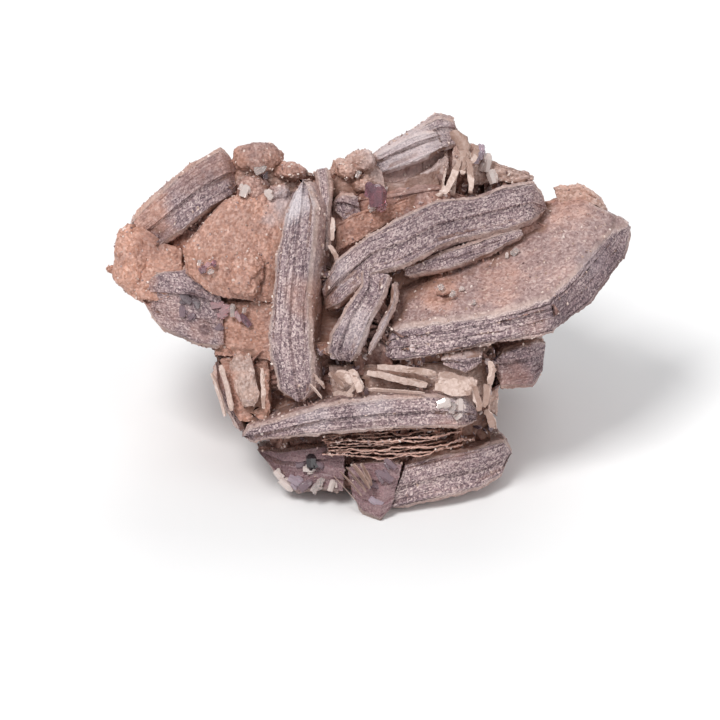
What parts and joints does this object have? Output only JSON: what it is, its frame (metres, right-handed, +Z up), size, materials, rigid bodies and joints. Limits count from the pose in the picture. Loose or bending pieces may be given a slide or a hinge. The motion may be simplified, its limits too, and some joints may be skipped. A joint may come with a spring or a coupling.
{
  "type": "lepidolite",
  "caption": "Hand specimen of lepidolite: thick striated mica books grown through each other, with cream crusts and small clear crystals, on a flat broken base.",
  "frame": {"origin": "middle of the bounding box, on the flat base", "axes": "+X to the right along the longest extent, +Y away from the face the picture shows, +Z up"},
  "size_m": [0.0538, 0.0404, 0.0327],
  "materials": {
    "lepidolite": "granular mica, satin with fine sparkle"
  },
  "bodies": {
    "root": {"lepidolite_cluster": "lepidolite"}
  },
  "joints": []
}
